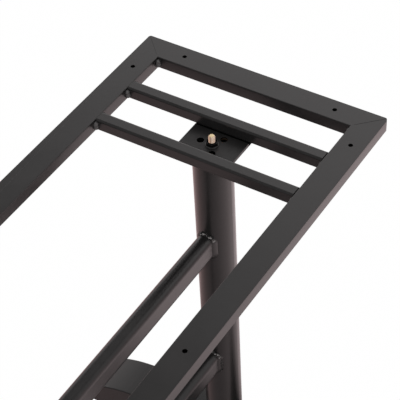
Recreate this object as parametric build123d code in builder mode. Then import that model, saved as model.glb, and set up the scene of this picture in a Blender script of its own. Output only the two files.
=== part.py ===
from build123d import *
import os

os.makedirs("parts", exist_ok=True)

# Rectangular table base with two columns on arched feet, in millimetres
# X runs across the base, Y along it towards the rear, Z up from the floor

# Top frame
table_height = 720.0
frame_length = 1020.0
frame_width = 405.0
frame_corner = 6.0
rail_width = 40.0
rail_height = 20.0
rail_wall = 1.5
rail_corner = 1.0
tube_inner_corner = 0.3

# Cross bars, measured from the end of the frame to the first bar
bar_inset = 112.5
bar_spacing = 82.0
bar_size = 20.0
bar_wall = 1.5
bar_corner = 3.5
bar_drop = 0.5

# Column plates
plate_width = 90.0
plate_length = 90.0
plate_thickness = 5.0
plate_corner = 4.0
plate_hole_diameter = 10.5
plate_hole_circle = 39.0

# Screw holes for the table top, measured from the end and the side of the frame
screw_hole_diameter = 6.5
long_rail_hole_inset = 77.0
end_rail_hole_inset = 75.5

# Columns and stretchers
column_inset = 150.0
column_diameter = 60.0
column_wall = 2.0
stretcher_width = 25.0
stretcher_depth = 47.5
stretcher_wall = 2.0
upper_stretcher_level = 520.2
lower_stretcher_level = 256.0
saddle_gap = 0.2

# Feet
foot_span = 560.0
foot_width = 76.0
foot_wall = 6.0
foot_edge = 2.0
foot_tip_corner = 8.0
foot_rim_height = 11.0
foot_seat_length = 90.0
foot_seat_height = 85.4
foot_shoulder_inset = 100.0
foot_shoulder_height = 74.3
foot_tip_height = 30.0
foot_boss_diameter = 36.0
foot_boss_depth = 34.0
foot_rib = 5.0
foot_rib_depth = 26.0
spigot_height = 6.0
spigot_clearance = 0.5

# Tie rods with their nuts and washers
rod_diameter = 10.0
rod_below_top = 4.0
rod_past_nut = 4.0
rod_chamfer = 1.0
rod_hole_diameter = 11.0
nut_across_flats = 17.0
nut_chamfer_width = 1.2
nut_chamfer_height = 0.8
top_nut_height = 5.0
bottom_nut_height = 8.0
nut_clearance = 0.1
washer_diameter = 20.0
washer_thickness = 1.5
washer_chamfer = 0.3

# Floor glides, measured from the tip of the foot
glide_inset = 40.0
glide_diameter = 30.0
glide_taper = 3.0
glide_chamfer = 1.2
glide_boss_diameter = 24.0
screw_diameter = 6.0
screw_length = 20.0
screw_head_diameter = 10.0
screw_head_height = 6.0
screw_head_recess = 8.0
screw_head_clearance = 1.0
screw_socket = 5.0
screw_socket_depth = 3.0
screw_clearance = 0.1
screw_hole_spare = 4.0

# Weld beads
weld_leg = 4.0
weld_bulge = 2.2
weld_end = 1.0
weld_ring = 3.0
weld_chamfer = 1.8

# Levels and places that follow from the sizes above
rail_bottom = table_height - rail_height
rail_middle = table_height - rail_height / 2
bar_middle = table_height - bar_drop - bar_size / 2
bar_bottom = table_height - bar_drop - bar_size
plate_bottom = bar_bottom - plate_thickness
column_y = frame_length / 2 - column_inset
column_radius = column_diameter / 2
inner_x = frame_width / 2 - rail_width
inner_y = frame_length / 2 - rail_width
long_hole_y = frame_length / 2 - long_rail_hole_inset
end_hole_x = frame_width / 2 - end_rail_hole_inset
boss_bottom = foot_seat_height - foot_boss_depth
rod_top = table_height - rod_below_top
rod_bottom = boss_bottom - washer_thickness - bottom_nut_height - rod_past_nut
glide_x = foot_span / 2 - glide_inset
screw_hole_depth = screw_head_recess + screw_length - foot_rim_height + screw_hole_spare

ends = {"rear": 1, "front": -1}
sides = {"left": -1, "right": 1}


def tube_section(width, height, wall, corner):
    RectangleRounded(width, height, corner)
    inner_corner = max(corner - wall, tube_inner_corner)
    RectangleRounded(width - 2 * wall, height - 2 * wall, inner_corner, mode=Mode.SUBTRACT)


def oval_section(width, height, wall):
    SlotOverall(height, width, rotation=90)
    SlotOverall(height - 2 * wall, width - 2 * wall, rotation=90, mode=Mode.SUBTRACT)


def save(part, name):
    part.label = name
    export_step(part, f"parts/{name}.step")


# Long rails of the top frame
for side, sign in sides.items():
    rail_x = sign * (frame_width - rail_width) / 2
    with BuildPart() as long_rail:
        with BuildSketch(Plane((rail_x, 0, rail_middle), x_dir=(1, 0, 0), z_dir=(0, 1, 0))):
            tube_section(rail_width, rail_height, rail_wall, rail_corner)
        extrude(amount=frame_length / 2, both=True)
        with BuildSketch(Plane.XY.offset(rail_bottom)):
            with BuildLine():
                Polyline(
                    (sign * frame_width / 2, -frame_length / 2),
                    (sign * frame_width / 2, frame_length / 2),
                    (sign * inner_x, inner_y),
                    (sign * inner_x, -inner_y),
                    close=True,
                )
            make_face()
            RectangleRounded(frame_width, frame_length, frame_corner, mode=Mode.INTERSECT)
        extrude(amount=rail_height, mode=Mode.INTERSECT)
        with Locations((rail_x, 0, table_height)):
            with GridLocations(rail_width, long_hole_y, 1, 3):
                Hole(screw_hole_diameter / 2)
    save(long_rail.part, f"{side}_rail")

# End rails of the top frame
for end, sign in ends.items():
    rail_y = sign * (frame_length - rail_width) / 2
    with BuildPart() as end_rail:
        with BuildSketch(Plane((0, rail_y, rail_middle), x_dir=(0, 1, 0), z_dir=(1, 0, 0))):
            tube_section(rail_width, rail_height, rail_wall, rail_corner)
        extrude(amount=frame_width / 2, both=True)
        with BuildSketch(Plane.XY.offset(rail_bottom)):
            with BuildLine():
                Polyline(
                    (-frame_width / 2, sign * frame_length / 2),
                    (frame_width / 2, sign * frame_length / 2),
                    (inner_x, sign * inner_y),
                    (-inner_x, sign * inner_y),
                    close=True,
                )
            make_face()
            RectangleRounded(frame_width, frame_length, frame_corner, mode=Mode.INTERSECT)
        extrude(amount=rail_height, mode=Mode.INTERSECT)
        with Locations((0, rail_y, table_height)):
            with GridLocations(2 * end_hole_x, rail_width, 2, 1):
                Hole(screw_hole_diameter / 2)
    save(end_rail.part, f"{end}_rail")

# Cross bars between the long rails
bar_places = []
for end, sign in ends.items():
    for place, step in {"outer": 0, "inner": bar_spacing}.items():
        bar_y = sign * (frame_length / 2 - bar_inset - step)
        bar_places.append(bar_y)
        with BuildPart() as bar:
            with BuildSketch(Plane((0, bar_y, bar_middle), x_dir=(0, 1, 0), z_dir=(1, 0, 0))):
                tube_section(bar_size, bar_size, bar_wall, bar_corner)
            extrude(amount=inner_x, both=True)
        save(bar.part, f"{end}_{place}_bar")

# Plates under the bars, columns, tie rods and their nuts and washers
for end, sign in ends.items():
    with BuildPart() as plate:
        with BuildSketch(Plane.XY.offset(plate_bottom)):
            with Locations((0, sign * column_y)):
                RectangleRounded(plate_width, plate_length, plate_corner)
                Circle(rod_hole_diameter / 2, mode=Mode.SUBTRACT)
                with PolarLocations(plate_hole_circle / 2, 3, start_angle=180):
                    Circle(plate_hole_diameter / 2, mode=Mode.SUBTRACT)
        extrude(amount=plate_thickness)
    save(plate.part, f"{end}_plate")

    with BuildPart() as column:
        with BuildSketch(Plane.XY.offset(foot_seat_height)):
            with Locations((0, sign * column_y)):
                Circle(column_radius)
                Circle(column_radius - column_wall, mode=Mode.SUBTRACT)
        extrude(amount=plate_bottom - foot_seat_height)
    save(column.part, f"{end}_column")

    with BuildPart() as tie_rod:
        with BuildSketch(Plane.XY.offset(rod_bottom)):
            with Locations((0, sign * column_y)):
                Circle(rod_diameter / 2)
        extrude(amount=rod_top - rod_bottom)
        chamfer(tie_rod.edges().filter_by(GeomType.CIRCLE), rod_chamfer)
    save(tie_rod.part, f"{end}_tie_rod")

    washer_levels = {"top": bar_bottom, "bottom": boss_bottom - washer_thickness}
    for level, washer_base in washer_levels.items():
        with BuildPart() as washer:
            with BuildSketch(Plane.XY.offset(washer_base)):
                with Locations((0, sign * column_y)):
                    Circle(washer_diameter / 2)
                    Circle(rod_hole_diameter / 2, mode=Mode.SUBTRACT)
            extrude(amount=washer_thickness)
            chamfer(washer.edges().group_by(SortBy.LENGTH)[-1], washer_chamfer)
        save(washer.part, f"{end}_{level}_washer")

    nut_levels = {
        "top": (bar_bottom + washer_thickness, top_nut_height),
        "bottom": (boss_bottom - washer_thickness - bottom_nut_height, bottom_nut_height),
    }
    for level, (nut_base, nut_height) in nut_levels.items():
        with BuildPart() as nut:
            with BuildSketch(Plane.XY.offset(nut_base)):
                with Locations((0, sign * column_y)):
                    Circle(nut_across_flats / 3**0.5)
            extrude(amount=nut_height)
            chamfer(nut.edges().filter_by(GeomType.CIRCLE), nut_chamfer_height, nut_chamfer_width)
            with BuildSketch(Plane.XY.offset(nut_base)):
                with Locations((0, sign * column_y)):
                    RegularPolygon(nut_across_flats / 2, 6, major_radius=False)
                    Circle(rod_diameter / 2 + nut_clearance, mode=Mode.SUBTRACT)
            extrude(amount=nut_height, mode=Mode.INTERSECT)
        save(nut.part, f"{end}_{level}_nut")

# Flat oval stretchers, each end cut to the round of its column
stretcher_levels = {"upper": upper_stretcher_level, "lower": lower_stretcher_level}
for level, height in stretcher_levels.items():
    with BuildPart() as stretcher:
        with BuildSketch(Plane((0, 0, height), x_dir=(1, 0, 0), z_dir=(0, 1, 0))):
            oval_section(stretcher_width, stretcher_depth, stretcher_wall)
        extrude(amount=column_y, both=True)
        with Locations((0, column_y, height), (0, -column_y, height)):
            Cylinder(column_radius + saddle_gap, 2 * stretcher_depth, mode=Mode.SUBTRACT)
    save(stretcher.part, f"{level}_stretcher")

# Weld beads round the saddle ends of the stretchers
ring_width = stretcher_width + 2 * weld_ring
ring_depth = stretcher_depth + 2 * weld_ring
for level, height in stretcher_levels.items():
    for end, sign in ends.items():
        facing = Plane((0, sign * column_y, height), x_dir=(1, 0, 0), z_dir=(0, -sign, 0))
        with BuildPart() as weld:
            with BuildSketch(facing):
                oval_section(ring_width, ring_depth, weld_ring)
            extrude(amount=column_radius + 2 * weld_ring)
            with Locations((0, sign * column_y, height)):
                Cylinder(column_radius + weld_ring, 2 * ring_depth, mode=Mode.INTERSECT)
                Cylinder(column_radius, 2 * ring_depth, mode=Mode.SUBTRACT)
            outside = weld.faces().sort_by(Axis.Y)[0 if sign > 0 else -1]
            chamfer(outside.outer_wire().edges(), weld_chamfer)
        save(weld.part, f"{level}_{end}_weld")

# Weld beads in the corners of the frame and beside the ends of the bars
weld_corners = []
for sign_x in sides.values():
    for sign_y in ends.values():
        weld_corners.append((sign_x, sign_y * inner_y, -sign_y))
    for bar_y in bar_places:
        weld_corners.append((sign_x, bar_y + bar_size / 2, 1))
        weld_corners.append((sign_x, bar_y - bar_size / 2, -1))
with BuildPart() as frame_welds:
    for sign_x, corner_y, step in weld_corners:
        corner = Vector(sign_x * inner_x, corner_y)
        along_rail = corner + Vector(0, step * weld_leg)
        along_bar = corner + Vector(-sign_x * weld_leg, 0)
        bulge = corner + Vector(-sign_x * weld_bulge, step * weld_bulge)
        with BuildSketch(Plane.XY.offset(rail_bottom + weld_end)):
            with BuildLine():
                Line(corner, along_rail)
                ThreePointArc(along_rail, bulge, along_bar)
                Line(along_bar, corner)
            make_face()
        extrude(amount=rail_height - bar_drop - 2 * weld_end)
save(frame_welds.part, "frame_welds")


def foot_profile(plane, inset, floor):
    half_span = foot_span / 2 - inset
    seat = foot_seat_height - inset
    shoulder = (foot_span / 2 - foot_shoulder_inset, foot_shoulder_height - inset)
    tip = (half_span, foot_tip_height - inset)
    with BuildSketch(plane) as profile:
        with BuildLine():
            Polyline(tip, (half_span, floor), (0, floor), (0, seat), (foot_seat_length / 2, seat))
            crown = TangentArc((foot_seat_length / 2, seat), shoulder, tangent=(1, 0))
            TangentArc(shoulder, tip, tangent=crown % 1)
        make_face()
        mirror(about=Plane.YZ)
    return profile.sketch


# Arched feet, cast open below round a core, with bosses for the rod and the glides
for end, sign in ends.items():
    foot_y = sign * column_y
    cross = Plane((0, foot_y, 0), x_dir=(1, 0, 0), z_dir=(0, -1, 0))
    with BuildPart() as core:
        inside = foot_profile(cross, foot_wall, foot_rim_height - foot_wall)
        extrude(inside, amount=foot_width / 2 - foot_wall, both=True)
        with BuildSketch(cross):
            with Locations((0, foot_seat_height - foot_rib_depth)):
                Rectangle(2 * glide_x, foot_seat_height, align=(Align.CENTER, Align.MIN))
        extrude(amount=foot_rib / 2, both=True, mode=Mode.SUBTRACT)
        with BuildSketch(Plane.XY.offset(boss_bottom)):
            with Locations((0, foot_y)):
                Circle(foot_boss_diameter / 2)
        extrude(amount=foot_boss_depth, mode=Mode.SUBTRACT)
        with BuildSketch(Plane.XY.offset(foot_rim_height)):
            with Locations((-glide_x, foot_y), (glide_x, foot_y)):
                Circle(glide_boss_diameter / 2)
        extrude(amount=foot_seat_height, mode=Mode.SUBTRACT)

    with BuildPart() as foot:
        extrude(foot_profile(cross, 0, foot_rim_height), amount=foot_width / 2, both=True)
        fillet(foot.edges().filter_by(Axis.Z), foot_tip_corner)
        upper = foot.edges().filter_by(lambda edge: edge.bounding_box().min.Z > foot_rim_height + foot_edge)
        nose = upper.filter_by(Axis.Y).filter_by(lambda edge: abs(edge.center().X) > foot_span / 2 - foot_edge)
        fillet(upper.filter_by(Axis.Z, reverse=True).filter_by(Axis.Y, reverse=True) + nose, foot_edge)
        add(core.part, mode=Mode.SUBTRACT)
        with BuildSketch(Plane.XY.offset(foot_seat_height)):
            with Locations((0, foot_y)):
                Circle(column_radius - column_wall - spigot_clearance)
        extrude(amount=spigot_height)
        with Locations((0, foot_y, foot_seat_height + spigot_height)):
            Hole(rod_hole_diameter / 2)
        for side in sides.values():
            with Locations(Plane((side * glide_x, foot_y, foot_rim_height), z_dir=(0, 0, -1))):
                Hole(screw_diameter / 2 + screw_clearance, depth=screw_hole_depth)
    save(foot.part, f"{end}_foot")

# Floor glides under the tips of the feet
glide_places = []
for end, sign in ends.items():
    for side, step in sides.items():
        place = (step * glide_x, sign * column_y)
        glide_places.append(place)
        with BuildPart() as glide:
            with Locations((*place, foot_rim_height / 2)):
                Cone(glide_diameter / 2, glide_diameter / 2 - glide_taper, foot_rim_height)
            chamfer(glide.edges().sort_by(Axis.Z)[0], glide_chamfer)
            with Locations(Plane((*place, 0), z_dir=(0, 0, -1))):
                CounterBoreHole(
                    screw_diameter / 2 + screw_clearance,
                    screw_head_diameter / 2 + screw_head_clearance,
                    screw_head_recess,
                )
        save(glide.part, f"{end}_{side}_glide")

# Screws that hold the glides
with BuildPart() as glide_screws:
    with BuildSketch(Plane.XY.offset(screw_head_recess - screw_head_height)):
        with Locations(*glide_places):
            Circle(screw_head_diameter / 2)
            RegularPolygon(screw_socket / 2, 6, major_radius=False, mode=Mode.SUBTRACT)
    extrude(amount=screw_socket_depth)
    with BuildSketch(Plane.XY.offset(screw_head_recess - screw_head_height + screw_socket_depth)):
        with Locations(*glide_places):
            Circle(screw_head_diameter / 2)
    extrude(amount=screw_head_height - screw_socket_depth)
    with BuildSketch(Plane.XY.offset(screw_head_recess)):
        with Locations(*glide_places):
            Circle(screw_diameter / 2)
    extrude(amount=screw_length)
save(glide_screws.part, "glide_screws")
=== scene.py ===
import math
import random
import bpy
from mathutils import Euler, Matrix, Vector


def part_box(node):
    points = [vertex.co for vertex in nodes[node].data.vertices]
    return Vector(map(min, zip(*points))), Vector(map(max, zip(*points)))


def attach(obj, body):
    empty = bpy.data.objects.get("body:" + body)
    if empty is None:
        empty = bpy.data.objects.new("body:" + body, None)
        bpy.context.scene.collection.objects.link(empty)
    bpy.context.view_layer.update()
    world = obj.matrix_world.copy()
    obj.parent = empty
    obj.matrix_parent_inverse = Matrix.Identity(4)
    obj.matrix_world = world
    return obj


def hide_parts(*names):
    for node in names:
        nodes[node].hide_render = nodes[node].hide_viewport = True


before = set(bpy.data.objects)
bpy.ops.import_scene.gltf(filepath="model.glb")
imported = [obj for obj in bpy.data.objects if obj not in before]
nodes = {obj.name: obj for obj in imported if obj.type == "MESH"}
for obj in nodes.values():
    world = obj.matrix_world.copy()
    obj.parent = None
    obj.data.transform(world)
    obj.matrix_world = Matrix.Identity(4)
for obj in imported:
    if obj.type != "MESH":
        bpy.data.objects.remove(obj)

scene = bpy.context.scene
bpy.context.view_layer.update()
bpy.ops.object.select_all(action="DESELECT")
print("frame loaded:", len(nodes), "nodes")


# where a node starts and ends along an axis, and its middle, to the micrometre
def span(node, axis):
    low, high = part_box(node)
    return round(low[axis], 6), round(high[axis], 6)


def middle(node, axis):
    return round(sum(span(node, axis)) / 2, 6)


# places that several pieces share
railInner, railOuter = span("right_rail", 0)
railTop = span("right_rail", 2)[1]
endInner, endOuter = span("rear_rail", 1)
outerBarFront, outerBarRear = span("rear_outer_bar", 1)
innerBarFront, innerBarRear = span("rear_inner_bar", 1)
plateBottom = span("rear_plate", 2)[0]
rodTop = span("rear_tie_rod", 2)[1]
columnY = middle("rear_column", 1)
columnRadius = span("rear_column", 0)[1]
stretcherHalf = span("upper_stretcher", 0)[1]


# camera at the photograph's viewpoint
cameraSpec = {
    "place": (0.87334, -0.96998, 2.09991),
    "azimuth": 34.07,
    "elevation": 43.464,
    "roll": -3.263,
    "lens": 134.03,
    "sensor": 36.0,
    "clip": (0.05, 60.0),
}


def addCamera(spec):
    tilt = Euler((math.radians(90 - spec["elevation"]), 0, math.radians(spec["azimuth"]))).to_matrix()
    turn = Matrix.Rotation(math.radians(spec["roll"]), 3, "Z")
    bpy.ops.object.camera_add(location=spec["place"], rotation=(tilt @ turn).to_euler())
    camera = bpy.context.object
    camera.name = "photoCamera"
    camera.data.sensor_width = spec["sensor"]
    camera.data.lens = spec["lens"]
    camera.data.clip_start, camera.data.clip_end = spec["clip"]
    scene.camera = camera


addCamera(cameraSpec)
scene.view_settings.view_transform = "Standard"
print("camera placed")


# a socket that can stand in a sum, and makes further nodes in its own tree
class Wire:
    def __init__(self, tree, socket):
        self.tree = tree
        self.socket = socket

    def node(self, kind, settings=None, sockets=None, output=0):
        made = self.tree.nodes.new(kind)
        for key, value in (settings or {}).items():
            if key == "stops":
                setStops(made.color_ramp, value)
            else:
                setattr(made, key, value)
        for key, value in (sockets or {}).items():
            if isinstance(value, Wire):
                self.tree.links.new(value.socket, made.inputs[key])
            else:
                made.inputs[key].default_value = value
        return Wire(self.tree, made.outputs[output])

    def combine(self, operation, first, second):
        return self.node("ShaderNodeMath", {"operation": operation}, {0: first, 1: second})

    def alone(self, operation):
        return self.node("ShaderNodeMath", {"operation": operation}, {0: self})

    def split(self):
        made = self.tree.nodes.new("ShaderNodeSeparateXYZ")
        self.tree.links.new(self.socket, made.inputs[0])
        return [Wire(self.tree, made.outputs[k]) for k in range(3)]

    def __add__(self, other):
        return self.combine("ADD", self, other)

    def __radd__(self, other):
        return self.combine("ADD", other, self)

    def __sub__(self, other):
        return self.combine("SUBTRACT", self, other)

    def __rsub__(self, other):
        return self.combine("SUBTRACT", other, self)

    def __mul__(self, other):
        return self.combine("MULTIPLY", self, other)

    def __rmul__(self, other):
        return self.combine("MULTIPLY", other, self)

    def ramp(self, low, high, fromValue=0.0, toValue=1.0):
        return self.node(
            "ShaderNodeMapRange",
            {"clamp": True, "interpolation_type": "SMOOTHSTEP"},
            {"Value": self, "From Min": low, "From Max": high, "To Min": fromValue, "To Max": toValue},
        )

    def noise(self, scale, detail):
        return self.node("ShaderNodeTexNoise", None, {"Vector": self, "Scale": scale, "Detail": detail})

    # sockets 6 and 7 and output 2 are the colour ones
    def mix(self, share, first, second):
        return self.node(
            "ShaderNodeMix",
            {"data_type": "RGBA"},
            {"Factor": share, 6: first, 7: second},
            output=2,
        )

    def blend(self, first, second):
        return self.mix(self, first, second)


def setStops(ramp, stops):
    while len(ramp.elements) < len(stops):
        ramp.elements.new(1.0)
    for element, (place, colour) in zip(ramp.elements, stops):
        element.position = place
        element.color = colour


def rgba(colour):
    return (colour[0], colour[1], colour[2], 1.0)


def startMaterial(name):
    material = bpy.data.materials.new(name)
    material.use_nodes = True
    tree = material.node_tree
    tree.nodes.clear()
    output = tree.nodes.new("ShaderNodeOutputMaterial")
    where = Wire(tree, tree.nodes.new("ShaderNodeTexCoord").outputs["Object"])
    return material, tree, output, where


# studio: a white sweep that is seen as white, with the light strongest at the rear, and a painted shadow
# near the feet that only reflections show
stageSpec = {
    "floorSize": 30.0,
    "floorColour": (0.8, 0.74, 0.74),
    "shownWhite": 0.995,
    "shadeLine": (0.25, 0.36),
    "shade": (0.06, 0.19, 0.75, 0.0),
    "shadeFrom": (0.33, 0.37),
    "rearSky": (0.5, 0.7, 0.26, 1.18),
    "rightSky": (0.05, 0.8, 0.0, 0.15),
    "leftSky": (-0.85, -0.55, 0.4, 0.0),
    "frontEdge": (-0.4, 0.4),
    "frontGround": (-1.05, 0.05, 0.28, 1.0),
    "rearGround": (-0.1, 0.8, 0.0, 0.4),
    "farGround": (-0.62, -0.35, 1.0, 0.62),
    "sideGround": (0.43, 0.53, 0.0, 0.5),
    "sideFrom": (0.42, 0.56),
    "tintSide": (-0.75, 0.0),
    "leftTint": (0.82, 0.575, 0.57),
    "rightTint": (1.0, 0.84, 0.845),
    "skyTint": (1.0, 0.965, 0.965),
    "nadir": (-0.86, -0.68, 0.25, 1.0),
    "horizon": (-0.05, 0.05),
    "lampPower": 1.5,
    "lampSpread": 50,
    "lampPlace": (0, -1, 3),
    "lampTurn": (50, 0, 10),
}


def addStage(spec):
    bpy.ops.object.select_all(action="DESELECT")
    bpy.ops.mesh.primitive_plane_add(size=spec["floorSize"])
    floor = bpy.context.object
    floor.name = "floor"
    material, tree, output, where = startMaterial("whiteSweep")
    path = tree.nodes.new("ShaderNodeLightPath")
    seen = Wire(tree, path.outputs["Is Camera Ray"])
    glossy = Wire(tree, path.outputs["Is Glossy Ray"])
    mirrored = glossy + Wire(tree, path.outputs["Is Transmission Ray"])
    diffuse = where.node("ShaderNodeBsdfDiffuse", None, {"Color": rgba(spec["floorColour"])})
    white = where.node("ShaderNodeEmission", None, {"Color": (1, 1, 1, 1), "Strength": 1.0})
    clear = where.node("ShaderNodeBsdfTransparent")
    x, y = where.split()[:2]
    # painted shadow: near the line of the feet, rays reflected off the object see unlit black on the
    # floor instead of the world beyond it
    past = x.alone("ABSOLUTE") - spec["shadeLine"][0]
    past = past.combine("MAXIMUM", past, 0.0)
    aside = y.alone("ABSOLUTE") - spec["shadeLine"][1]
    shade = (past * past + aside * aside).alone("SQRT").ramp(*spec["shade"]) * y.ramp(*spec["shadeFrom"])
    unlit = where.node("ShaderNodeEmission", None, {"Color": (0, 0, 0, 1), "Strength": 0.0})
    mirror = where.node("ShaderNodeMixShader", None, {0: shade, 1: clear, 2: unlit})
    shown = where.node("ShaderNodeMixShader", None, {0: seen * spec["shownWhite"], 1: diffuse, 2: white})
    whole = where.node("ShaderNodeMixShader", None, {0: mirrored, 1: shown, 2: mirror})
    tree.links.new(whole.socket, output.inputs["Surface"])
    floor.data.materials.append(material)


def addWorld(spec):
    world = bpy.data.worlds.new("studio")
    scene.world = world
    world.use_nodes = True
    tree = world.node_tree
    tree.nodes.clear()
    output = tree.nodes.new("ShaderNodeOutputWorld")
    facing = Wire(tree, tree.nodes.new("ShaderNodeTexCoord").outputs["Generated"])
    x, y, z = facing.split()
    sides = x.ramp(*spec["rightSky"]) + x.ramp(*spec["leftSky"])
    sky = y.ramp(*spec["rearSky"]) + sides * y.ramp(*spec["frontEdge"])
    ground = y.ramp(*spec["frontGround"]) + y.ramp(*spec["rearGround"])
    ground = ground * z.ramp(*spec["nadir"]) * z.ramp(*spec["farGround"])
    ground = ground * (1 - x.ramp(*spec["sideGround"]) * y.ramp(*spec["sideFrom"]))
    above = z.ramp(*spec["horizon"])
    strength = ground + (sky - ground) * above
    below = x.ramp(*spec["tintSide"]).blend(rgba(spec["leftTint"]), rgba(spec["rightTint"]))
    colour = above.blend(below, rgba(spec["skyTint"]))
    path = tree.nodes.new("ShaderNodeLightPath")
    seen = Wire(tree, path.outputs["Is Camera Ray"])
    light = facing.node("ShaderNodeBackground", None, {"Color": colour, "Strength": strength})
    white = facing.node("ShaderNodeBackground", None, {"Color": (1, 1, 1, 1), "Strength": 1.0})
    whole = facing.node("ShaderNodeMixShader", None, {0: seen, 1: light, 2: white})
    tree.links.new(whole.socket, output.inputs["Surface"])


def addLamp(spec):
    turn = [math.radians(angle) for angle in spec["lampTurn"]]
    bpy.ops.object.light_add(type="SUN", location=spec["lampPlace"], rotation=turn)
    lamp = bpy.context.object
    lamp.name = "frontLamp"
    lamp.data.energy = spec["lampPower"]
    lamp.data.angle = math.radians(spec["lampSpread"])
    lamp.visible_glossy = False


addStage(stageSpec)
addWorld(stageSpec)
addLamp(stageSpec)
print("stage and light ready")


# satin powder coat, with an optional mask that is left bare and matt, and an optional relief
coatSpec = {
    "dark": (0.01, 0.0097, 0.0097),
    "light": (0.0145, 0.014, 0.014),
    "patch": 22.0,
    "patchDetail": 3.0,
    "grain": 900.0,
    "grainDetail": 2.0,
    "toneGrain": 0.3,
    "roughGrain": 0.5,
    "spread": (0.3, 0.7),
    "rough": (0.275, 0.315),
    "bareRough": 0.9,
    "bump": 0.000002,
    "ior": 1.6,
}
plateSpec = dict(coatSpec, rough=(0.44, 0.54))
footSpec = dict(coatSpec, patch=34.0, grain=420.0, rough=(0.34, 0.43), bump=0.00002)


def coatMaterial(name, spec, mark=None, form=None):
    material, tree, output, where = startMaterial(name)
    patch = where.noise(spec["patch"], spec["patchDetail"])
    grain = where.noise(spec["grain"], spec["grainDetail"])
    tone = patch * (1 - spec["toneGrain"]) + grain * spec["toneGrain"]
    colour = tone.ramp(*spec["spread"]).blend(rgba(spec["dark"]), rgba(spec["light"]))
    rough = patch * (1 - spec["roughGrain"]) + grain * spec["roughGrain"]
    rough = rough.ramp(*spec["spread"], *spec["rough"])
    relief = grain * spec["bump"]
    if form:
        relief = relief + form(where)
    bump = where.node("ShaderNodeBump", None, {"Strength": 1.0, "Distance": 1.0, "Height": relief})
    coat = where.node(
        "ShaderNodeBsdfPrincipled",
        None,
        {"IOR": spec["ior"], "Base Color": colour, "Roughness": rough, "Normal": bump},
    )
    if mark:
        mask, shade = mark(where, patch)
        shade = shade if isinstance(shade, Wire) else rgba(shade)
        bare = where.node(
            "ShaderNodeBsdfPrincipled",
            None,
            {"Base Color": shade, "Roughness": spec["bareRough"], "Specular IOR Level": 0.0},
        )
        coat = where.node("ShaderNodeMixShader", None, {0: mask, 1: coat, 2: bare})
    tree.links.new(coat.socket, output.inputs["Surface"])
    return material


# distance to the nearest of some upright axes, which repeat in all four quarters
def nearestAxis(x, y, places):
    nearest = None
    for place in places:
        offX = x - place[0]
        offY = y - place[1]
        away = (offX * offX + offY * offY).alone("SQRT")
        nearest = away if nearest is None else away.combine("MINIMUM", nearest, away)
    return nearest


# the mitres show as fine dark lines, clearer on the right; painted shade: the screw holes are painted
# near black, matt and without gloss, as shade fills them
railSpec = {
    "line": (0.0002, 0.0008),
    "fade": (0.033, 0.039),
    "clearer": (-0.1, 0.1, 0.4, 0.85),
    "broken": (0.3, 0.5, 0.6, 1.0),
    "screws": (
        (middle("right_rail", 0), endOuter - 0.077),
        (middle("right_rail", 0), 0.0),
        (railOuter - 0.0755, middle("rear_rail", 1)),
    ),
    "edge": (0.0033, 0.0036),
    "shade": (0.004, 0.0037, 0.0037),
}


def railMark(where, patch):
    x, y = where.split()[:2]
    sideX = x.alone("ABSOLUTE")
    sideY = y.alone("ABSOLUTE")
    inX = railOuter - sideX
    inY = endOuter - sideY
    line = (inX - inY).alone("ABSOLUTE").ramp(*railSpec["line"], 1.0, 0.0)
    line = line * inX.ramp(*railSpec["fade"], 1.0, 0.0) * x.ramp(*railSpec["clearer"])
    # painted shade inside the screw holes
    hole = nearestAxis(sideX, sideY, railSpec["screws"]).ramp(*railSpec["edge"], 1.0, 0.0)
    return hole.combine("MAXIMUM", hole, line * patch.ramp(*railSpec["broken"])), railSpec["shade"]


# the rails' sides roll in towards the top edge, more so on the end rails
rollSpec = {
    "rolls": ((0.004, 0.00042), (0.016, 0.0008)),
    "longSides": (0.2, 0.8, 1.0, 0.32),
}


def railForm(where):
    z = where.split()[2]
    form = 0.0
    for reach, depth in rollSpec["rolls"]:
        near = (z - (railTop - reach)) * (1 / reach)
        near = near.combine("MAXIMUM", near, 0.0)
        form = form - near * near * depth
    facing = where.node("ShaderNodeNewGeometry", output="True Normal").split()[0]
    return form * facing.alone("ABSOLUTE").ramp(*rollSpec["longSides"])


# painted shade: the bars stop a little short of the right rail, and a dark band painted on their ends
# stands for the shaded gap
gapShadeSpec = {
    "side": (railInner - 0.0017, railInner - 0.0013),
    "shade": (0.004, 0.004, 0.004),
}


def gapShadeMark(where, patch):
    x = where.split()[0]
    return x.ramp(*gapShadeSpec["side"]), gapShadeSpec["shade"]


# painted shade: the plates' holes and the gap under the outer bar are painted near black; one hole's
# wall is brown in a band
plateMarks = {
    "circle": 0.0195,
    "turns": (180, -60, 60),
    "edge": (0.00527, 0.0055),
    "shadeUnderBar": (outerBarFront - 0.0011, outerBarFront - 0.0006),
    "brown": (0.036, 0.024, 0.017),
    "brownFrom": (columnY + 0.005, columnY + 0.007),
    "brownAbove": (plateBottom + 0.0007, plateBottom + 0.0013),
    "brownBelow": (plateBottom + 0.003, plateBottom + 0.0037),
    "shadeBlack": (0.002, 0.002, 0.002),
}


def plateMark(where, patch):
    x, y, z = where.split()
    sideY = y.alone("ABSOLUTE")
    holes = []
    for angle in plateMarks["turns"]:
        holeX = plateMarks["circle"] * math.cos(math.radians(angle))
        holeY = plateMarks["circle"] * math.sin(math.radians(angle))
        holes.append((holeX, columnY + holeY))
    hole = nearestAxis(x, sideY, holes).ramp(*plateMarks["edge"], 1.0, 0.0)
    # painted shade along the foot of the outer bar
    shadeUnderBar = sideY.ramp(*plateMarks["shadeUnderBar"])
    band = z.ramp(*plateMarks["brownAbove"]) * z.ramp(*plateMarks["brownBelow"], 1.0, 0.0)
    brown = band * sideY.ramp(*plateMarks["brownFrom"]) * hole
    shade = brown.blend(rgba(plateMarks["shadeBlack"]), rgba(plateMarks["brown"]))
    return hole.combine("MAXIMUM", hole, shadeUnderBar), shade


# the nuts' countersinks hold no light
sinkSpec = {"edge": (0.0071, 0.0073), "shade": (0.002, 0.002, 0.002)}


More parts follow.
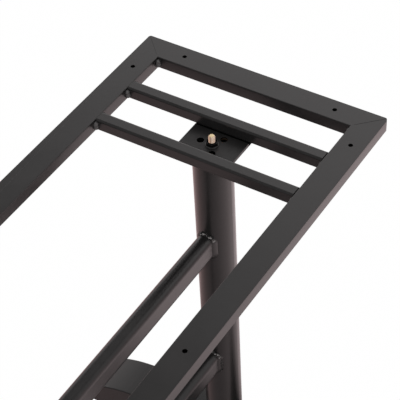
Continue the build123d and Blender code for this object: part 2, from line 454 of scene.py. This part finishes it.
def sinkMark(where, patch):
    x, y = where.split()[:2]
    along = y.alone("ABSOLUTE") - columnY
    away = (x * x + along * along).alone("SQRT")
    return away.ramp(*sinkSpec["edge"], 1.0, 0.0), sinkSpec["shade"]


# painted highlights: light grey specks on the lumps of weld stand for glints of light
glintSpec = {"scale": 300.0, "detail": 1.0, "edge": (0.54, 0.6), "shade": (0.28, 0.27, 0.265)}


def glintMark(where, patch):
    glint = where.noise(glintSpec["scale"], glintSpec["detail"])
    return glint.ramp(*glintSpec["edge"]), glintSpec["shade"]


# plating, cloudy and with a blush: yellow on the rods, bright on the screws of the glides
zincSpec = {
    "warm": (0.9, 0.66, 0.48),
    "pale": (0.95, 0.76, 0.6),
    "blush": (0.92, 0.64, 0.52),
    "cloud": 160.0,
    "cloudDetail": 3.0,
    "cloudEdge": (0.35, 0.65),
    "film": 420.0,
    "filmDetail": 2.0,
    "blushEdge": (0.45, 0.7, 0.0, 0.7),
    "roughEdge": (0.3, 0.7),
    "rough": (0.28, 0.4),
    "metal": 0.12,
}
steelSpec = dict(
    zincSpec,
    warm=(0.56, 0.56, 0.58),
    pale=(0.68, 0.68, 0.7),
    blush=(0.6, 0.6, 0.63),
    rough=(0.26, 0.38),
    metal=1.0,
)


# yellow film on the rods, yellower on the end; painted reflections: pale and dark streaks along them,
# laid across in one fixed direction, stand for highlights and shade
filmAndSheenSpec = {
    "across": (0.83, 0.56),
    "width": 0.01,
    "sheenStreaks": (
        (0.1, (0.95, 0.64, 0.46, 1)),
        (0.3, (0.36, 0.22, 0.15, 1)),
        (0.4, (0.44, 0.3, 0.22, 1)),
        (0.53, (1.0, 0.87, 0.72, 1)),
        (0.64, (0.96, 0.72, 0.54, 1)),
        (0.92, (1.0, 0.76, 0.61, 1)),
    ),
    "sheenShare": 0.8,
    "end": (rodTop - 0.0001, rodTop + 0.0006),
    "endColour": (0.92, 0.74, 0.42),
}


def filmAndSheenMark(where, colour):
    x, y, z = where.split()
    turnX, turnY = filmAndSheenSpec["across"]
    off = x * turnX + (y.alone("ABSOLUTE") - columnY) * turnY
    place = off * (1 / filmAndSheenSpec["width"]) + 0.5
    sheen = place.node("ShaderNodeValToRGB", {"stops": filmAndSheenSpec["sheenStreaks"]}, {0: place})
    colour = where.mix(filmAndSheenSpec["sheenShare"], colour, sheen)
    return z.ramp(*filmAndSheenSpec["end"]).blend(colour, rgba(filmAndSheenSpec["endColour"]))


def platedMaterial(name, spec, mark=None):
    material, tree, output, where = startMaterial(name)
    cloud = where.noise(spec["cloud"], spec["cloudDetail"])
    film = where.noise(spec["film"], spec["filmDetail"])
    colour = cloud.ramp(*spec["cloudEdge"]).blend(rgba(spec["warm"]), rgba(spec["pale"]))
    colour = film.ramp(*spec["blushEdge"]).blend(colour, rgba(spec["blush"]))
    if mark:
        colour = mark(where, colour)
    rough = film.ramp(*spec["roughEdge"], *spec["rough"])
    plated = where.node(
        "ShaderNodeBsdfPrincipled",
        None,
        {"Base Color": colour, "Roughness": rough, "Metallic": spec["metal"]},
    )
    tree.links.new(plated.socket, output.inputs["Surface"])
    return material


# the other finishes are the same coat in other tones
nutSpec = dict(
    coatSpec,
    dark=(0.002, 0.002, 0.002),
    light=(0.004, 0.004, 0.004),
    patch=120.0,
    rough=(0.42, 0.5),
    ior=1.4,
)
washerSpec = dict(
    coatSpec,
    dark=(0.045, 0.045, 0.045),
    light=(0.07, 0.07, 0.07),
    patch=160.0,
    rough=(0.3, 0.4),
)
# painted highlights: the beads share the black coat, but are given a lighter grey that stands for the
# light they catch
beadSheenSpec = dict(coatSpec, dark=(0.07, 0.068, 0.068), light=(0.12, 0.117, 0.117), patch=300.0)
glideSpec = dict(
    coatSpec,
    dark=(0.014, 0.014, 0.0142),
    light=(0.021, 0.021, 0.0212),
    grain=1400.0,
    rough=(0.52, 0.66),
    ior=1.48,
)
satinCoat = coatMaterial("satinCoat", coatSpec)
railCoat = coatMaterial("railCoat", coatSpec, railMark, railForm)
plateCoat = coatMaterial("plateCoat", plateSpec, plateMark)
barCoat = coatMaterial("barCoat", coatSpec, gapShadeMark)
beadSheenCoat = coatMaterial("beadSheenCoat", beadSheenSpec)
lumpCoat = coatMaterial("lumpCoat", coatSpec, glintMark)
footCoat = coatMaterial("footCoat", footSpec)
blackOxide = coatMaterial("blackOxide", nutSpec, sinkMark)
washerCoat = coatMaterial("washerCoat", washerSpec)
glidePlastic = coatMaterial("glidePlastic", glideSpec)
yellowZinc = platedMaterial("yellowZinc", zincSpec, filmAndSheenMark)
brightZinc = platedMaterial("brightZinc", steelSpec)
finishes = (
    ("_rail", railCoat),
    ("_bar", barCoat),
    ("_plate", plateCoat),
    ("_foot", footCoat),
    ("_nut", blackOxide),
    ("_washer", washerCoat),
    ("_glide", glidePlastic),
    ("_screws", brightZinc),
    ("", satinCoat),
)
for name, node in nodes.items():
    node.data.materials.clear()
    node.data.materials.append(next(finish for ending, finish in finishes if name.endswith(ending)))
print("finishes given")


# shared steps for the modelled pieces
def applyModifier(piece, kind, settings):
    added = piece.modifiers.new(kind.lower(), kind)
    for key, value in settings.items():
        setattr(added, key, value)
    bpy.ops.object.modifier_apply(modifier=added.name)


def pickOnly(piece):
    bpy.ops.object.select_all(action="DESELECT")
    piece.select_set(True)
    bpy.context.view_layer.objects.active = piece


def placedCopy(piece, move):
    twin = piece.copy()
    twin.data = piece.data.copy()
    scene.collection.objects.link(twin)
    twin.data.transform(move)
    if move.determinant() < 0:
        twin.data.flip_normals()
    return twin


def finishPiece(piece, name, finish, replaced):
    pickOnly(piece)
    bpy.ops.object.transform_apply(location=True, rotation=True, scale=True)
    piece.name = name
    piece.data.name = name
    if finish:
        piece.data.materials.clear()
        piece.data.materials.append(finish)
    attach(piece, "root")
    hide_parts(*replaced)


# tie rods: rolled thread at both ends of a plain shank
rodSpec = {
    "pitch": 0.00125,
    "root": 0.0044,
    "steps": 32,
    "turns": 26,
    "tips": ((0.0008, 0.93), (0.0008, 0.85), (0.0006, 0.72)),
    "crown": 0.0008,
    "shank": 0.0045,
    "overlap": 0.002,
    "smooth": 32,
}


def addThread(spec, axisX, axisY, bottom, top):
    bpy.ops.mesh.primitive_circle_add(
        vertices=4,
        radius=spec["pitch"] / 2,
        location=(axisX, axisY, bottom),
        rotation=(math.pi / 2, 0, 0),
    )
    thread = bpy.context.object
    bpy.ops.object.transform_apply(location=False, rotation=True, scale=False)
    bpy.ops.object.mode_set(mode="EDIT")
    bpy.ops.mesh.select_all(action="DESELECT")
    bpy.ops.object.mode_set(mode="OBJECT")
    inner = min(thread.data.vertices, key=lambda v: v.co.x)
    inner.select = True
    bpy.ops.object.mode_set(mode="EDIT")
    bpy.ops.mesh.delete(type="VERT")
    bpy.ops.mesh.select_all(action="SELECT")
    bpy.ops.transform.translate(value=(spec["root"], 0, 0))
    bpy.ops.object.mode_set(mode="OBJECT")
    turns = math.ceil((top - bottom) / spec["pitch"]) + 1
    applyModifier(
        thread,
        "SCREW",
        {
            "screw_offset": spec["pitch"],
            "iterations": turns,
            "steps": spec["steps"],
            "render_steps": spec["steps"],
            "use_merge_vertices": True,
            "merge_threshold": 1e-6,
        },
    )
    bpy.ops.object.mode_set(mode="EDIT")
    tipHeight = sum(rise for rise, scale in spec["tips"])
    for level, side in ((top - tipHeight, 1), (bottom + tipHeight, -1)):
        bpy.ops.mesh.select_all(action="SELECT")
        bpy.ops.mesh.bisect(
            plane_co=(axisX, axisY, level),
            plane_no=(0, 0, side),
            use_fill=True,
            clear_outer=True,
            threshold=1e-7,
        )
        for rise, scale in spec["tips"]:
            bpy.ops.mesh.extrude_region_move(TRANSFORM_OT_translate={"value": (0, 0, side * rise)})
            bpy.ops.transform.resize(value=(scale, scale, 1))
    bpy.ops.mesh.select_all(action="SELECT")
    bpy.ops.mesh.normals_make_consistent(inside=False)
    bpy.ops.object.mode_set(mode="OBJECT")
    return thread


def addTieRod(spec):
    low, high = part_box("rear_tie_rod")
    axisX = (low.x + high.x) / 2
    axisY = (low.y + high.y) / 2
    reach = spec["turns"] * spec["pitch"]
    upper = addThread(spec, axisX, axisY, high.z - reach, high.z + spec["crown"])
    lower = addThread(spec, axisX, axisY, low.z, low.z + reach)
    bpy.ops.mesh.primitive_cylinder_add(
        vertices=spec["steps"],
        radius=spec["shank"],
        depth=high.z - low.z - 2 * reach + 2 * spec["overlap"],
        location=(axisX, axisY, (low.z + high.z) / 2),
    )
    shank = bpy.context.object
    pickOnly(upper)
    lower.select_set(True)
    shank.select_set(True)
    bpy.ops.object.join()
    bpy.ops.object.shade_smooth_by_angle(angle=math.radians(spec["smooth"]))
    bpy.ops.object.transform_apply(location=True, rotation=True, scale=True)
    return upper, axisY


rearRod, rodY = addTieRod(rodSpec)
frontRod = placedCopy(rearRod, Matrix.Translation((0, -2 * rodY, 0)))
finishPiece(rearRod, "rearTieRod", yellowZinc, ["rear_tie_rod"])
finishPiece(frontRod, "frontTieRod", yellowZinc, ["front_tie_rod"])
print("tie rods made")


# top nuts: hexagons with turned-down corners and countersunk holes
hexSpec = {
    "corner": 0.0098,
    "turned": 0.0096,
    "edge": 0.0013,
    "hole": 0.005,
    "sink": 0.0073,
    "sinkDepth": 0.0007,
    "crownSides": 64,
    "boreSides": 48,
    "past": 0.001,
    "smooth": 28,
}


def addTurned(vertices, radii, levels, axis):
    bpy.ops.object.select_all(action="DESELECT")
    bpy.ops.mesh.primitive_circle_add(
        vertices=vertices, radius=radii[0], fill_type="NGON", location=(axis[0], axis[1], levels[0])
    )
    turned = bpy.context.object
    bpy.ops.object.mode_set(mode="EDIT")
    bpy.ops.mesh.select_all(action="SELECT")
    for k in range(1, len(radii)):
        scale = radii[k] / radii[k - 1]
        rise = levels[k] - levels[k - 1]
        bpy.ops.mesh.extrude_region_move(TRANSFORM_OT_translate={"value": (0, 0, rise)})
        bpy.ops.transform.resize(value=(scale, scale, 1))
    bpy.ops.mesh.select_all(action="SELECT")
    bpy.ops.mesh.normals_make_consistent(inside=False)
    bpy.ops.object.mode_set(mode="OBJECT")
    bpy.ops.object.transform_apply(location=True, rotation=True, scale=True)
    return turned


def addNut(spec):
    low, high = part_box("rear_top_nut")
    axis = ((low.x + high.x) / 2, (low.y + high.y) / 2)
    nut = addTurned(6, (spec["corner"], spec["corner"]), (low.z, high.z), axis)
    if high.x - low.x > high.y - low.y:
        centre = (axis[0], axis[1], 0)
        bpy.ops.transform.rotate(value=math.radians(30), orient_axis="Z", center_override=centre)
        bpy.ops.object.transform_apply(location=True, rotation=True, scale=True)
    wide = spec["turned"] + spec["edge"]
    crown = addTurned(
        spec["crownSides"],
        (wide, wide, spec["turned"] - spec["edge"]),
        (low.z - spec["past"], high.z - spec["edge"], high.z),
        axis,
    )
    bore = addTurned(
        spec["boreSides"],
        (spec["hole"], spec["hole"], spec["sink"], spec["sink"]),
        (low.z - spec["past"], high.z - spec["sinkDepth"], high.z, high.z + spec["past"]),
        axis,
    )
    pickOnly(nut)
    applyModifier(nut, "BOOLEAN", {"operation": "INTERSECT", "object": crown, "solver": "EXACT"})
    applyModifier(nut, "BOOLEAN", {"operation": "DIFFERENCE", "object": bore, "solver": "EXACT"})
    bpy.data.objects.remove(crown)
    bpy.data.objects.remove(bore)
    bpy.ops.object.shade_smooth_by_angle(angle=math.radians(spec["smooth"]))
    return nut, axis[1]


rearNut, nutY = addNut(hexSpec)
frontNut = placedCopy(rearNut, Matrix.Translation((0, -2 * nutY, 0)))
finishPiece(rearNut, "rearTopNut", blackOxide, ["rear_top_nut"])
finishPiece(frontNut, "frontTopNut", blackOxide, ["front_top_nut"])
print("top nuts made")


# the right rail mirrors the left one, so that their edges are rounded alike
twinSpec = {"merge": 0.000001, "smooth": 30}


def addRightRail(spec):
    rail = bpy.data.objects.new("rightRail", nodes["left_rail"].data.copy())
    scene.collection.objects.link(rail)
    rail.data.transform(Matrix.Diagonal((-1, 1, 1, 1)))
    rail.data.flip_normals()
    pickOnly(rail)
    bpy.ops.mesh.customdata_custom_splitnormals_clear()
    bpy.ops.object.mode_set(mode="EDIT")
    bpy.ops.mesh.select_all(action="SELECT")
    bpy.ops.mesh.remove_doubles(threshold=spec["merge"])
    bpy.ops.object.mode_set(mode="OBJECT")
    bpy.ops.object.shade_smooth_by_angle(angle=math.radians(spec["smooth"]))
    applyModifier(rail, "WEIGHTED_NORMAL", {"keep_sharp": True})
    return rail


finishPiece(addRightRail(twinSpec), "rightRail", railCoat, ["right_rail"])
print("right rail made")


# weld beads: drops of metal laid one over the other and melted into one skin
def layBead(drops, spec):
    place, size = drops[0]
    bpy.ops.object.select_all(action="DESELECT")
    bpy.ops.mesh.primitive_ico_sphere_add(subdivisions=spec["facets"], radius=size, location=place)
    bead = bpy.context.object
    bpy.ops.object.mode_set(mode="EDIT")
    for place, size in drops[1:]:
        bpy.ops.mesh.primitive_ico_sphere_add(subdivisions=spec["facets"], radius=size, location=place)
    bpy.ops.object.mode_set(mode="OBJECT")
    applyModifier(bead, "REMESH", {"mode": "VOXEL", "voxel_size": spec["skin"]})
    applyModifier(bead, "SMOOTH", {"factor": 0.5, "iterations": spec["smoothing"]})
    bpy.ops.object.shade_smooth()
    bpy.ops.object.transform_apply(location=True, rotation=True, scale=True)
    return bead


def trimBead(bead, place, away):
    pickOnly(bead)
    bpy.ops.object.mode_set(mode="EDIT")
    bpy.ops.mesh.select_all(action="SELECT")
    bpy.ops.mesh.bisect(plane_co=place, plane_no=away, use_fill=True, clear_outer=True, threshold=1e-7)
    bpy.ops.object.mode_set(mode="OBJECT")


def walkLoop(points, step):
    walked = []
    spare = 0.0
    for first, second in zip(points, points[1:] + points[:1]):
        run = (second - first).length
        while spare < run:
            walked.append(first.lerp(second, spare / run))
            spare += step
        spare -= run
    return walked


# upright beads in the inner corners of the frame and at the ends of the bars
cornerSpec = {
    "drops": (
        ((0.001, 0.0006, railTop - 0.0136), 0.0047),
        ((0.0007, 0.0009, railTop - 0.0112), 0.004),
        ((0.0006, 0.0008, railTop - 0.0083), 0.0043),
    ),
    "facets": 3,
    "skin": 0.0006,
    "smoothing": 3,
    "root": 0.0006,
    "faces": (
        (endInner, -1),
        (outerBarRear, 1),
        (outerBarFront, -1),
        (innerBarRear, 1),
        (innerBarFront, -1),
    ),
    "sunk": 0.0025,
}


def addCornerBeads(spec):
    bead = layBead(spec["drops"], spec)
    trimBead(bead, (-spec["root"], 0, 0), (-1, 0, 0))
    trimBead(bead, (0, -spec["root"], 0), (0, -1, 0))
    copies = []
    for sideX in (-1, 1):
        for sideY in (-1, 1):
            for place, facing in spec["faces"]:
                turn = Matrix.Diagonal((-sideX, sideY * facing, 1, 1))
                lower = spec["sunk"] if sideX > 0 and facing > 0 else 0
                spot = (sideX * railInner, sideY * place, -lower)
                copies.append(placedCopy(bead, Matrix.Translation(spot) @ turn))
    bpy.data.objects.remove(bead)
    pickOnly(copies[0])
    for twin in copies[1:]:
        twin.select_set(True)
    bpy.ops.object.join()
    return copies[0]


finishPiece(addCornerBeads(cornerSpec), "frameBeads", beadSheenCoat, ["frame_welds"])
print("frame beads laid")


# beads round the ends of the stretchers: a broad fillet with lumps on top
# the lower ones also have a ridge down the right side
ringSpec = {
    "seed": 11,
    "halfHeight": 0.02375,
    "turnStep": 15,
    "level": middle("upper_rear_weld", 2),
    "lowerLevel": middle("lower_rear_weld", 2),
    "fillet": {
        "inset": 0.0103,
        "sunk": 0.009,
        "step": 0.0022,
        "drop": 0.016,
        "vary": 0.0,
        "wander": 0.0,
        "facets": 4,
        "skin": 0.0009,
        "smoothing": 2,
    },
    "lumps": {
        "inset": -0.0012,
        "sunk": -0.0012,
        "step": 0.0047,
        "drop": 0.003,
        "vary": 0.25,
        "wander": 0.0008,
        "facets": 2,
        "skin": 0.0005,
        "smoothing": 1,
    },
    "lumpFrom": (-0.0098, 0.0125, 1.0),
    "ridge": {"inset": -0.0034, "sunk": -0.0012, "drop": 0.0026},
    "ridgeFrom": (0.006, -0.017, 0.0115),
    "root": 0.0245,
}


def ringLoop(spec, inset):
    radius = stretcherHalf - inset
    rise = spec["halfHeight"] - stretcherHalf
    points = []
    for start, level in ((0, rise), (180, -rise)):
        for angle in range(start, start + 181, spec["turnStep"]):
            turn = math.radians(angle)
            spot = Vector((math.cos(turn), 0, math.sin(turn))) * radius
            points.append(spot + Vector((0, 0, level)))
    return points


def ringDrops(spec, lay):
    drops = []
    for spot in walkLoop(ringLoop(spec, lay["inset"]), lay["step"]):
        reach = columnRadius - lay["sunk"] + random.uniform(-lay["wander"], lay["wander"])
        y = columnY - math.sqrt(reach * reach - spot.x * spot.x)
        z = spec["level"] + spot.z + random.uniform(-lay["wander"], lay["wander"])
        size = lay["drop"] * random.uniform(1 - lay["vary"], 1 + lay["vary"])
        drops.append(((spot.x, y, z), size))
    return drops


def ringLumps(spec, lay, reach):
    left, low, high = reach
    drops = []
    for place, size in ringDrops(spec, lay):
        if place[0] > left and low < place[2] - spec["level"] < high:
            drops.append((place, size))
    return layBead(drops, lay)


def addRingBead(spec, ridged):
    random.seed(spec["seed"])
    fillet = layBead(ringDrops(spec, spec["fillet"]), spec["fillet"])
    trimBead(fillet, (0, columnY - spec["root"], 0), (0, 1, 0))
    fillet.data.materials.append(satinCoat)
    lumps = [ringLumps(spec, spec["lumps"], spec["lumpFrom"])]
    lumps[0].data.materials.append(lumpCoat)
    if ridged:
        ridge = dict(spec["lumps"], **spec["ridge"])
        lumps.append(ringLumps(spec, ridge, spec["ridgeFrom"]))
        lumps[1].data.materials.append(satinCoat)
    pickOnly(fillet)
    for lump in lumps:
        lump.select_set(True)
    bpy.ops.object.join()
    return fillet


upperRing = addRingBead(ringSpec, False)
lowerRing = addRingBead(ringSpec, True)
lowerRing.data.transform(Matrix.Translation((0, 0, ringSpec["lowerLevel"] - ringSpec["level"])))
mirror = Matrix.Diagonal((1, -1, 1, 1))
rings = (
    ("upperRearRing", upperRing, "upper_rear_weld"),
    ("upperFrontRing", placedCopy(upperRing, mirror), "upper_front_weld"),
    ("lowerRearRing", lowerRing, "lower_rear_weld"),
    ("lowerFrontRing", placedCopy(lowerRing, mirror), "lower_front_weld"),
)
for name, ring, node in rings:
    finishPiece(ring, name, None, [node])
print("stretcher beads laid")
